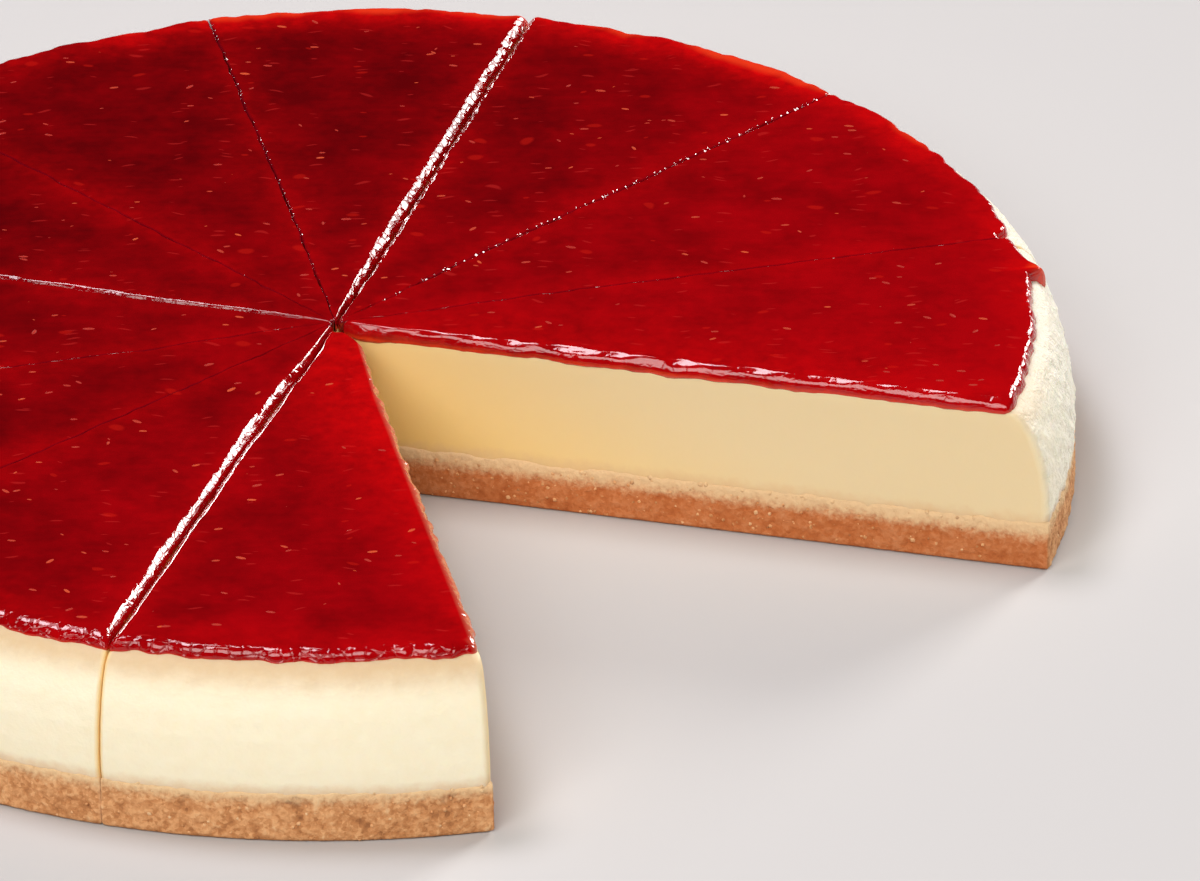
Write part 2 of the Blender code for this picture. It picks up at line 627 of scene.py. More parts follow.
class Heap:
    """One small shape, copied many times into one piece."""

    def __init__(self, shape: bmesh.types.BMesh) -> None:
        """Keeps the shape.

        Args:
            shape: the shape at the origin, which is freed.
        """
        self.shape = bpy.data.meshes.new("shape")
        shape.to_mesh(self.shape)
        shape.free()
        self.skin = bmesh.new()
        self.tint = self.skin.verts.layers.float.new("lump")

    def add(self, spot: Triple, form: Matrix, tone: float) -> None:
        """Adds one copy.

        Args:
            spot: its place in millimetres.
            form: its size and direction.
            tone: its place on the colour ramp.
        """
        copy = self.shape.copy()
        copy.transform(Matrix.Translation(Vector(spot) * MM) @ form)
        self.skin.from_mesh(copy)
        bpy.data.meshes.remove(copy)
        self.skin.verts.ensure_lookup_table()
        for vertex in self.skin.verts[-len(self.shape.vertices) :]:
            vertex[self.tint] = tone

    def to_object(self, name: str, material: Material) -> Piece:
        """Turns the copies into one piece."""
        bpy.data.meshes.remove(self.shape)
        return finish_mesh(self.skin, name, material)


class NodeSheet:
    """Short way to lay out and join shader nodes."""

    def __init__(self, tree: bpy.types.NodeTree) -> None:
        """Keeps the node tree.

        Args:
            tree: tree to fill.
        """
        self.tree = tree

    def add(
        self, kind: str, inputs: dict[str | int, object] | None = None, **settings: object
    ) -> bpy.types.Node:
        """Adds one node.

        Args:
            kind: node type.
            inputs: values or sockets for its inputs.
            settings: its own settings.

        Returns:
            The node.
        """
        node = self.tree.nodes.new(kind)
        for name, value in settings.items():
            setattr(node, name, value)
        for name, value in (inputs or {}).items():
            if isinstance(value, Socket):
                self.tree.links.new(value, node.inputs[name])
            else:
                node.inputs[name].default_value = value
        return node

    def math(self, operation: str, *values: object, clamp: bool = False) -> Socket:
        """Adds a math node.

        Args:
            operation: what it does.
            values: values or sockets to work on.
            clamp: whether the result stays from 0 to 1.

        Returns:
            Its result.
        """
        inputs = dict(enumerate(values))
        node = self.add("ShaderNodeMath", inputs, operation=operation, use_clamp=clamp)
        return node.outputs[0]

    def fade(self, value: Socket, start: float, end: float, top: float = 1.0) -> Socket:
        """Soft rise of a value.

        Args:
            value: what to read.
            start: where the rise begins.
            end: where it ends.
            top: how high it ends.

        Returns:
            From 0 to the top.
        """
        inputs = {"Value": value, "From Min": start, "From Max": end, "To Max": top}
        node = self.add("ShaderNodeMapRange", inputs, interpolation_type="SMOOTHSTEP")
        return node.outputs[0]

    def ramp(self, value: Socket, stops: tuple[tuple[float, Triple], ...]) -> Socket:
        """Colour of a value.

        Args:
            value: where on the ramp to read.
            stops: positions and colours.

        Returns:
            The colour socket.
        """
        node = self.add("ShaderNodeValToRGB", {0: value})
        elements = node.color_ramp.elements
        while len(elements) < len(stops):
            elements.new(0.5)
        for element, (position, colour) in zip(elements, stops):
            element.position = position
            element.color = (*colour, 1.0)
        return node.outputs["Color"]

    def mix(self, share: object, under: object, over: object) -> Socket:
        """Mix of two colours.

        Args:
            share: how much of the upper one shows.
            under: the lower colour.
            over: the upper colour.

        Returns:
            The colour socket.
        """
        node = self.tree.nodes.new("ShaderNodeMix")
        node.data_type = "RGBA"
        for socket, value in ((node.inputs[0], share), (node.inputs[6], under), (node.inputs[7], over)):
            if isinstance(value, Socket):
                self.tree.links.new(value, socket)
            elif socket.type == "RGBA":
                socket.default_value = (*value, 1.0)
            else:
                socket.default_value = value
        return node.outputs[2]

    def mark(self, name: str) -> Socket:
        """Value of a mark that the mesh carries."""
        return self.add("ShaderNodeAttribute", attribute_name=name).outputs["Fac"]

    def millimetres(self, stretch: Triple = (1.0, 1.0, 1.0)) -> Socket:
        """Place on the object in millimetres.

        Args:
            stretch: how much longer a pattern gets along each axis.

        Returns:
            The place.
        """
        place = self.add("ShaderNodeTexCoord").outputs["Object"]
        scale = tuple(1000.0 / part for part in stretch)
        return self.add("ShaderNodeMapping", {"Vector": place, "Scale": scale}).outputs[0]


def new_group(name: str, numbers: tuple[tuple[str, float], ...], output: str) -> bpy.types.NodeTree:
    """Empty shader node group that reads a place.

    Args:
        name: name of the group.
        numbers: its number inputs and their usual values.
        output: name of its output.

    Returns:
        The group.
    """
    group = bpy.data.node_groups.new(name, "ShaderNodeTree")
    group.interface.new_socket("Place", in_out="INPUT", socket_type="NodeSocketVector")
    for label, usual in numbers:
        socket = group.interface.new_socket(label, in_out="INPUT", socket_type="NodeSocketFloat")
        socket.default_value = usual
    group.interface.new_socket(output, in_out="OUTPUT", socket_type="NodeSocketFloat")
    return group


class FoodPatterns:
    """Node groups that several finishes share."""

    def __init__(self) -> None:
        """Builds the groups."""
        self.clouds = self._clouds()
        self.flecks = self._flecks()

    @staticmethod
    def _clouds() -> bpy.types.NodeTree:
        """Uneven tone of cooked food.

        Returns:
            Group that gives a tone from 0 to 1.
        """
        group = new_group("uneven_tone", (("Width", 8.0), ("Detail", 3.0), ("Contrast", 1.0)), "Tone")
        sheet = NodeSheet(group)
        source = sheet.add("NodeGroupInput").outputs
        scale = sheet.math("DIVIDE", 1.0, source["Width"])
        inputs = {"Vector": source["Place"], "Scale": scale, "Detail": source["Detail"], "Roughness": 0.6}
        noise = sheet.add("ShaderNodeTexNoise", inputs).outputs["Fac"]
        centred = sheet.math("SUBTRACT", noise, 0.5)
        spread = sheet.math("MULTIPLY", centred, source["Contrast"])
        tone = sheet.math("ADD", spread, 0.5, clamp=True)
        sheet.add("NodeGroupOutput", {"Tone": tone})
        return group

    @staticmethod
    def _flecks() -> bpy.types.NodeTree:
        """Scattered flecks.

        Returns:
            Group that gives 1 in a fleck and 0 between them.
        """
        group = new_group("flecks", (("Width", 3.0), ("Size", 0.2), ("Share", 0.3)), "Mask")
        sheet = NodeSheet(group)
        source = sheet.add("NodeGroupInput").outputs
        scale = sheet.math("DIVIDE", 1.0, source["Width"])
        inputs = {"Vector": source["Place"], "Scale": scale}
        cells = sheet.add("ShaderNodeTexVoronoi", inputs, voronoi_dimensions="2D")
        draw = sheet.add("ShaderNodeSeparateColor", {0: cells.outputs["Color"]})
        chosen = sheet.math("LESS_THAN", draw.outputs[0], source["Share"])
        size = sheet.math("MULTIPLY", source["Size"], sheet.math("ADD", draw.outputs[1], 0.4))
        inside = sheet.math("SUBTRACT", size, cells.outputs["Distance"])
        soft = sheet.math("MULTIPLY", sheet.math("DIVIDE", inside, size), 2.5, clamp=True)
        sheet.add("NodeGroupOutput", {"Mask": sheet.math("MULTIPLY", soft, chosen)})
        return group

    def tone(self, sheet: NodeSheet, place: Socket, width: float, contrast: float) -> Socket:
        """Uneven tone at one scale.

        Args:
            sheet: where the nodes go.
            place: place to read, in millimetres.
            width: width of one swell.
            contrast: how far the tone leaves its middle.

        Returns:
            Tone from 0 to 1.
        """
        inputs = {"Place": place, "Width": width, "Contrast": contrast}
        return sheet.add("ShaderNodeGroup", inputs, node_tree=self.clouds).outputs["Tone"]

    def fleck(self, sheet: NodeSheet, place: Socket, width: float, size: float, share: float) -> Socket:
        """Mask of scattered flecks.

        Args:
            sheet: where the nodes go.
            place: place to read, in millimetres.
            width: mean distance between two flecks.
            size: size of a fleck as a share of that distance.
            share: how many of the flecks show.

        Returns:
            Mask from 0 to 1.
        """
        inputs = {"Place": place, "Width": width, "Size": size, "Share": share}
        return sheet.add("ShaderNodeGroup", inputs, node_tree=self.flecks).outputs["Mask"]


def new_material(name: str) -> tuple[Material, NodeSheet, bpy.types.Node]:
    """Empty node material with its Principled shader.

    Args:
        name: name of the finish.

    Returns:
        The material, its node sheet and its shader.
    """
    material = bpy.data.materials.new(name)
    material.use_nodes = True
    shader = material.node_tree.nodes["Principled BSDF"]
    return material, NodeSheet(material.node_tree), shader


def dress(
    sheet: NodeSheet, shader: bpy.types.Node, sockets: dict[str, object], height: object, depth: float
) -> None:
    """Sets the sockets of a shader and gives it a bump.

    Args:
        sheet: where the nodes go.
        shader: the Principled shader.
        sockets: values or sources of its sockets.
        height: height of the bump, in millimetres.
        depth: strength of the bump.
    """
    bump = sheet.add("ShaderNodeBump", {"Height": height, "Distance": MM, "Strength": depth})
    for name, value in {**sockets, "Normal": bump.outputs[0]}.items():
        if isinstance(value, Socket):
            sheet.tree.links.new(value, shader.inputs[name])
        else:
            shader.inputs[name].default_value = value


@dataclass(frozen=True)
class JellyFinish:
    """Clear red raspberry jelly over a pale filling.

    Args:
        deep: red where the jelly is deepest.
        body: red of most of the jelly.
        light: red where most light comes through.
        glow: jelly at an edge, lighter where it is shallow, and the painted glow of light coming through it.
        foot: jelly on the filling, at the foot of its edge, and the painted glow where most light comes
            through.
        crust: dried edge beside the gap.
        crease: painted shade in the narrow cuts.
        fibre: fibres of the berries.
        pulp: pulp of the berries.
        roughness: of the smooth jelly.
        deepest: where the jelly is deepest red, in millimetres.
        cells: torn cells along one millimetre of a wide cut.
        dome: height at which a torn cell is flat.
        flecks: stretch, spacing, size and share of the fibres and of the pulp.
    """

    deep: Triple = (0.095, 0.0004, 0.0016)
    body: Triple = (0.185, 0.0005, 0.0020)
    light: Triple = (0.31, 0.0007, 0.0028)
    glow: Triple = (0.60, 0.0022, 0.0026)
    foot: Triple = (0.80, 0.055, 0.013)
    crust: Triple = (0.80, 0.26, 0.15)
    crease: Triple = (0.080, 0.0012, 0.008)
    fibre: Triple = (0.50, 0.020, 0.018)
    pulp: Triple = (0.55, 0.012, 0.006)
    roughness: float = 0.07
    deepest: Triple = (15.0, 76.0, 33.0)
    cells: float = 0.48
    dome: float = 0.13
    flecks: tuple[tuple[Triple, float, float, float], ...] = (
        ((2.6, 0.55, 1.0), 3.2, 0.15, 0.24),
        ((1.4, 0.8, 1.0), 7.5, 0.12, 0.22),
    )

    def material(self, patterns: FoodPatterns) -> Material:
        """Builds the material.

        Args:
            patterns: shared node groups.

        Returns:
            The finish.
        """
        material, sheet, shader = new_material("raspberry_jelly_gloss")
        place = sheet.millimetres()
        fine = patterns.tone(sheet, place, 2.6, 1.3)
        flecked = self._fruit(sheet, patterns, self._body(sheet, patterns, place, fine))
        edge = sheet.mark("edge")
        uneven = sheet.math("MULTIPLY_ADD", fine, 0.9, 0.25)
        # Painted glow of light coming through the jelly near its edges and on the lit stretches of the rim.
        shine = sheet.math("MAXIMUM", sheet.math("MULTIPLY", edge, 0.55), sheet.mark("lit_glow"))
        warm = sheet.mix(sheet.math("MULTIPLY", shine, uneven, clamp=True), flecked, self.glow)
        # Painted glow: where it is strongest the jelly turns orange.
        sunny = sheet.mix(sheet.fade(sheet.mark("lit_glow"), 0.95, 1.4, 0.6), warm, self.foot)
        low = sheet.fade(edge, 0.86, 1.0, 0.85)
        footed = sheet.mix(sheet.math("MULTIPLY", low, uneven, clamp=True), sunny, self.foot)
        crusted = sheet.mix(sheet.math("MULTIPLY", sheet.mark("pale"), 0.75), footed, self.crust)
        # Painted shade in the narrow cuts.
        colour = sheet.mix(sheet.mark("crease"), crusted, self.crease)
        wet = sheet.mark("wet")
        inputs = {"Vector": place, "Scale": self.cells}
        cells = sheet.add("ShaderNodeTexVoronoi", inputs, feature="DISTANCE_TO_EDGE")
        domes = sheet.math("MINIMUM", cells.outputs["Distance"], self.dome)
        torn = sheet.math("MULTIPLY", domes, sheet.math("MULTIPLY", sheet.math("POWER", wet, 3.0), 1.5))
        ripple = sheet.math("MULTIPLY", patterns.tone(sheet, place, 0.9, 1.0), 0.007)
        height = sheet.math("ADD", ripple, torn)
        sockets = {
            "Base Color": colour,
            "Roughness": sheet.math("MULTIPLY_ADD", fine, 0.05, self.roughness - 0.02),
            "IOR": 1.42,
            "Coat Weight": 0.2,
            "Coat Roughness": 0.03,
        }
        dress(sheet, shader, sockets, height, 1.0)
        return material

    def _body(self, sheet: NodeSheet, patterns: FoodPatterns, place: Socket, fine: Socket) -> Socket:
        """Red of the jelly, deepest behind the middle, with painted light that makes it lighter towards the
        right front.

        Args:
            sheet: where the nodes go.
            patterns: shared node groups.
            place: place to read, in millimetres.
            fine: fine uneven tone.

        Returns:
            The colour socket.
        """
        broad = patterns.tone(sheet, place, 13.0, 1.5)
        spread = patterns.tone(sheet, sheet.millimetres((14.0, 1.6, 1.0)), 1.0, 1.3)
        mixed = sheet.math("MULTIPLY_ADD", broad, 0.50, sheet.math("MULTIPLY", fine, 0.18))
        tone = sheet.math("MULTIPLY_ADD", spread, 0.11, mixed)
        axes = sheet.add("ShaderNodeSeparateXYZ", {0: place}).outputs
        # Painted light: the jelly grows lighter towards +X and -Y, the right front of the cake.
        lean = sheet.math("MULTIPLY_ADD", axes["Y"], -0.6, axes["X"])
        away = sheet.add("ShaderNodeVectorMath", {0: place, 1: self.deepest}, operation="DISTANCE")
        inputs = {"Value": away.outputs["Value"], "From Max": 62.0, "To Max": 0.16}
        clear = sheet.add("ShaderNodeMapRange", inputs).outputs[0]
        lighter = sheet.math("ADD", tone, sheet.math("ADD", clear, -0.02))
        shifted = sheet.math("MULTIPLY_ADD", lean, 0.0022, lighter)
        return sheet.ramp(shifted, ((0.22, self.deep), (0.5, self.body), (0.82, self.light)))

    def _fruit(self, sheet: NodeSheet, patterns: FoodPatterns, body: Socket) -> Socket:
        """Fibres and pulp of the berries in the jelly.

        Args:
            sheet: where the nodes go.
            patterns: shared node groups.
            body: colour of the clear jelly.

        Returns:
            The colour socket.
        """
        noise = sheet.add("ShaderNodeTexNoise", {"Vector": sheet.millimetres(), "Scale": 0.08, "Detail": 1.0})
        place = sheet.add("ShaderNodeTexCoord").outputs["Object"]
        inputs = {0: noise.outputs["Color"], 1: (0.0, 0.010, 0.0), 2: place}
        swirl = sheet.add("ShaderNodeVectorMath", inputs, operation="MULTIPLY_ADD").outputs[0]
        masks = []
        for stretch, width, size, share in self.flecks:
            scale = tuple(1000.0 / part for part in stretch)
            bent = sheet.add("ShaderNodeMapping", {"Vector": swirl, "Scale": scale}).outputs[0]
            masks.append(patterns.fleck(sheet, bent, width, size, share))
        threads = sheet.mix(sheet.math("MULTIPLY", masks[0], 0.34), body, self.fibre)
        return sheet.mix(sheet.math("MULTIPLY", masks[1], 0.32), threads, self.pulp)


@dataclass(frozen=True)
class FillingFinish:
    """Baked cream cheese filling.

    Args:
        cream: darker tone of the outer wall.
        pale: lighter tone of the outer wall.
        inside: cut face towards the rim.
        gap_shade_bounce: painted shade with a painted warm reflection, on the cut face deep in the gap.
        skin: darker band on the outer wall, just under the jelly.
        toast: where the filling meets the base.
        chalk: crinkled skin.
        slit: painted shade and glow at the corners of the closed cuts.
        roughness: of the filling.
    """

    cream: Triple = (0.91, 0.78, 0.52)
    pale: Triple = (0.96, 0.88, 0.67)
    inside: Triple = (0.82, 0.65, 0.38)
    gap_shade_bounce: Triple = (0.91, 0.61, 0.20)
    skin: Triple = (0.61, 0.41, 0.205)
    toast: Triple = (0.76, 0.48, 0.25)
    chalk: Triple = (0.98, 0.93, 0.79)
    slit: Triple = (0.92, 0.62, 0.26)
    roughness: float = 0.48

    def material(self, patterns: FoodPatterns) -> Material:
        """Builds the material.

        Args:
            patterns: shared node groups.

        Returns:
            The finish.
        """
        material, sheet, shader = new_material("baked_cheese_filling")
        place = sheet.millimetres()
        broad = patterns.tone(sheet, place, 17.0, 1.4)
        fine = patterns.tone(sheet, place, 3.0, 1.4)
        wall = sheet.mark("wall")
        crinkle = sheet.mark("crinkle")
        mottled = sheet.math("MULTIPLY_ADD", fine, 0.5, sheet.math("MULTIPLY", broad, 0.5))
        even = sheet.mix(mottled, self.cream, self.pale)
        outer = sheet.mix(sheet.math("MULTIPLY", crinkle, 0.85, clamp=True), even, self.chalk)
        axes = sheet.add("ShaderNodeSeparateXYZ", {0: place}).outputs
        height_mm = axes["Z"]
        # Painted shade with a painted warm reflection on the cut faces, darker and more golden towards low X
        # and the bottom.
        depth = sheet.math("MULTIPLY_ADD", height_mm, 1.6, sheet.math("ADD", axes["X"], -28.0))
        near = sheet.fade(depth, -18.0, 84.0)
        body = sheet.mix(wall, sheet.mix(near, self.gap_shade_bounce, self.inside), outer)
        ragged = sheet.math("MULTIPLY_ADD", fine, 1.6, height_mm)
        band = sheet.fade(ragged, 25.8, 31.6)
        smooth = sheet.math("MULTIPLY_ADD", crinkle, -0.8, 1.0, clamp=True)
        band_share = sheet.math("MULTIPLY", band, sheet.math("MULTIPLY", wall, smooth))
        banded = sheet.mix(band_share, body, self.skin)
        foot = sheet.fade(sheet.math("MULTIPLY_ADD", fine, -2.4, height_mm), 10.4, 7.6)
        footed = sheet.mix(sheet.math("MULTIPLY", foot, 0.6), banded, self.toast)
        # Painted shade and glow along the closed cuts.
        colour = sheet.mix(sheet.math("MULTIPLY", sheet.mark("slit"), 0.85), footed, self.slit)
        relief = sheet.math("MULTIPLY", fine, 0.05)
        wrinkled = patterns.tone(sheet, place, 0.8, 1.6)
        rough_skin = sheet.math("MULTIPLY", wrinkled, sheet.math("MULTIPLY", crinkle, 0.48))
        sockets = {
            "Base Color": colour,
            "Roughness": sheet.math("MULTIPLY_ADD", fine, 0.12, self.roughness),
            "IOR": 1.45,
            "Subsurface Weight": 0.22,
            "Subsurface Radius": (1.0, 0.72, 0.42),
            "Subsurface Scale": 0.003,
        }
        dress(sheet, shader, sockets, sheet.math("ADD", relief, rough_skin), 0.8)
        return material


@dataclass(frozen=True)
class BiscuitFinish:
    """Baked biscuit crumb.

    Args:
        dark: creases of the crumb.
        body: most of the crumb.
        light: raised crumb.
        nugget: palest grains.
        cut_face_shade: painted shade on a cut face of the crumb.
        cream: crumb smeared with filling.
        roughness: of the crumb.
    """

    dark: Triple = (0.22, 0.075, 0.024)
    body: Triple = (0.54, 0.225, 0.080)
    light: Triple = (0.75, 0.38, 0.165)
    nugget: Triple = (0.80, 0.52, 0.28)
    cut_face_shade: Triple = (0.47, 0.088, 0.010)
    cream: Triple = (0.80, 0.56, 0.31)
    roughness: float = 0.85

    def material(self, patterns: FoodPatterns, name: str, loose: bool) -> Material:
        """Builds the material.

        Args:
            patterns: shared node groups.
            name: name of the finish.
            loose: whether it is for loose crumbs, each of one tone.

        Returns:
            The finish.
        """
        material, sheet, shader = new_material(name)
        place = sheet.millimetres()
        grit = sheet.add("ShaderNodeTexVoronoi", {"Vector": place, "Scale": 1.5, "Randomness": 1.0})
        draw = sheet.add("ShaderNodeSeparateColor", {0: grit.outputs["Color"]}).outputs[0]
        fine = patterns.tone(sheet, place, 1.15, 1.6)
        broad = patterns.tone(sheet, place, 6.0, 1.4)
        lump = sheet.mark("lump")
        own = sheet.math("MULTIPLY_ADD", draw, 0.22, sheet.math("MULTIPLY", fine, 0.32))
        shaded = sheet.math("MULTIPLY_ADD", lump, 0.38 if not loose else 0.75, own)
        tone = sheet.math("MULTIPLY_ADD", broad, 0.22, shaded)
        stops = ((0.2, self.dark), (0.5, self.body), (0.74, self.light), (0.98, self.nugget))
        crumb = sheet.ramp(tone, stops)
        cut_face_shade = sheet.mark("cut_face_shade")
        height_mm = sheet.add("ShaderNodeSeparateXYZ", {0: place}).outputs["Z"]
        level = sheet.math("MULTIPLY_ADD", cut_face_shade, 1.3, height_mm)
        creamy = sheet.fade(sheet.math("MULTIPLY_ADD", fine, 2.4, level), 7.5, 10.8, 0.92)
        # Painted shade on the cut faces of the crumb.
        inside = sheet.mix(sheet.math("MULTIPLY", cut_face_shade, 0.62), crumb, self.cut_face_shade)
        topped = sheet.mix(creamy, inside, self.cream)
        colour = sheet.mix(sheet.math("MULTIPLY", sheet.mark("slit"), 0.6), topped, self.cream)
        height = sheet.math("MULTIPLY", fine, 0.3)
        sockets = {
            "Base Color": colour,
            "Roughness": sheet.math("MULTIPLY_ADD", fine, 0.12, self.roughness - 0.06),
            "Specular IOR Level": 0.3,
        }
        dress(sheet, shader, sockets, height, 0.9)
        return material


@dataclass(frozen=True)
class SeedFinish:
    """Raspberry seeds under a film of jelly.

    Args:
        red: seeds deep in the jelly.
        orange: seeds near its surface.
        roughness: of the seeds.
    """

    red: Triple = (0.36, 0.016, 0.010)
    orange: Triple = (0.54, 0.060, 0.014)
    roughness: float = 0.55

    def material(self, patterns: FoodPatterns) -> Material:
        """Builds the material.

        Args:
            patterns: shared node groups.

        Returns:
            The finish.
        """
        material, sheet, shader = new_material("raspberry_seed")
        place = sheet.millimetres()
        fine = patterns.tone(sheet, place, 0.5, 1.4)
        tone = sheet.math("MULTIPLY_ADD", fine, 0.25, sheet.mark("lump"))
        colour = sheet.ramp(tone, ((0.1, self.red), (1.05, self.orange)))
        sockets = {"Base Color": colour, "Roughness": self.roughness, "Specular IOR Level": 0.15}
        dress(sheet, shader, sockets, sheet.math("MULTIPLY", fine, 0.04), 0.6)
        return material


def azimuth(points: Array) -> Array:
    """Angle of each point round the cake, in degrees from -180 to 180."""
    return np.degrees(np.arctan2(points[:, 1], points[:, 0]))


def bell(values: Array, middle: float, width: float) -> Array:
    """Soft bump of height 1."""
    return np.exp(-(((values - middle) / width) ** 2))


def is_open(number: int, last: bool) -> bool:
    """Whether a cut face looks into the gap of the missing slices."""
    return number == SIZES.slices - 1 if last else number == 0


@dataclass
class BiscuitBase:
    """Crumb base under every slice.

    Args:
        step: distance between two points where the base shows.
        relief: depth of the crumb relief.
        proud: how far the open faces stand out beyond the filling.
        closed: half width of a closed cut.
        face: length of an open face.
        arc: length of the outer arc.
        hidden: points on a closed cut face.
        foot: height and inset of the lowest rings.
        brim: height above the top and inset of the highest rings.
        rounds: radius of the tip and of both outer corners.
    """

    step: float = 0.42
    relief: float = 0.74
    proud: float = 0.22
    closed: float = 0.03
    face: float = 126.0
    arc: float = 66.0
    hidden: int = 44
    foot: tuple[tuple[float, float], ...] = ((0.0, 2.4), (0.0, 0.45), (0.22, 0.12))
    brim: tuple[tuple[float, float], ...] = ((-0.25, 0.1), (0.0, 0.4), (0.05, 1.3))
    rounds: Triple = (0.4, 0.35, 0.35)

    def build(self, number: int, material: Material) -> Piece:
        """Builds the base of one slice.

        Args:
            number: slice number from 0.
            material: its finish.

        Returns:
            The piece.
        """
        shown = int(self.face / self.step)
        spacing = Spacing(
            tip=8,
            first=shown if is_open(number, False) else self.hidden,
            corner=6,
            rim=int(self.arc / self.step),
            last=shown if is_open(number, True) else self.hidden,
        )
        outline = WedgeOutline(number, spacing)
        grain = Grain(Pattern.CRUMB_RELIEF)
        seen = self._seen(number, spacing)
        # Mask of painted shade on the cut faces.
        cut_face_shade = 1.0 - spacing.rim_share()
        sides = ((outline.first, Zone.FIRST_CORNER), (outline.last, Zone.LAST_CORNER))
        closed = [zone.value for cut, zone in sides if not cut.free]
        corner = np.isin(spacing.zones(), closed) * cut_face_shade
        cut_face_shade = cut_face_shade * (1.0 - corner)
        open_gap = SIZES.free_kerf - self.proud
        gaps = tuple(open_gap if cut.free else self.closed for cut in (outline.first, outline.last))
        shell = Shell()
        wall = ((height, 0.0) for height in np.arange(0.6, SIZES.base_top - 0.5, self.step))
        brim = ((SIZES.base_top + height, inset) for height, inset in self.brim)
        for height, inset in (*self.foot, *wall, *brim):
            loop = outline.loop(
                lambda turns: np.full(len(turns), SIZES.base_radius),
                inset,
                (inset, inset),
                self.rounds,
                gaps,
            )
            moved, lifted, lump = self._crumble(loop, height, seen, grain)
            shell.add(moved, lifted, lump=lump, cut_face_shade=cut_face_shade, slit=corner)
        loop = outline.narrowed(shell.rings[-1], 0.4)
        shell.add(loop, SIZES.base_top, lump=0.5, cut_face_shade=0.0, slit=0.0)
        return shell.to_object(f"biscuit_crumb_{number + 1:02d}", material)

    @staticmethod
    def _seen(number: int, spacing: Spacing) -> Array:
        """How much of the crumb relief each point shows.

        Args:
            number: slice number from 0.
            spacing: points on each stretch.

        Returns:
            From 0 to 1 for each point.
        """
        rim = spacing.rim_share()
        zones = spacing.zones()
        seen = 0.16 + 0.84 * rim
        if is_open(number, False):
            seen[zones == Zone.FIRST_CUT.value] = 0.85
        if is_open(number, True):
            seen[zones == Zone.LAST_CUT.value] = 0.85
        return seen

    def _crumble(
        self, loop: Array, height: float, seen: Array, grain: Grain
    ) -> tuple[Array, Array, Array]:
        """Moves a ring by the crumb relief.

        Args:
            loop: plan of the ring.
            height: its height.
            seen: how much of the relief each point shows.
            grain: the noise.

        Returns:
            The new plan, the new heights and how raised each point is.
        """
        points = at_height(loop, height)
        lumps = grain.clumps(points, 1.9)
        grit = grain.clumps(points + 40.0, 0.95)
        swell = grain.cloud(points, 5.0)
        value = 0.60 * (lumps - 0.42) + 0.34 * (grit - 0.42) + 0.22 * swell
        rise = min(1.0, height / 0.6)
        out = outward_normals(loop) * (self.relief * value * seen * rise)[:, None]
        moved = kept_inside(loop + out)
        plan = at_height(loop)
        wave = 0.40 * grain.cloud(plan, 6.5) + 0.35 * grain.cloud(plan + 9, 2.3)
        lift = height + wave * (height / SIZES.base_top) ** 3 * (0.25 + 0.75 * seen)
        return moved, lift, np.clip(0.5 + 1.2 * value, 0.0, 1.0)


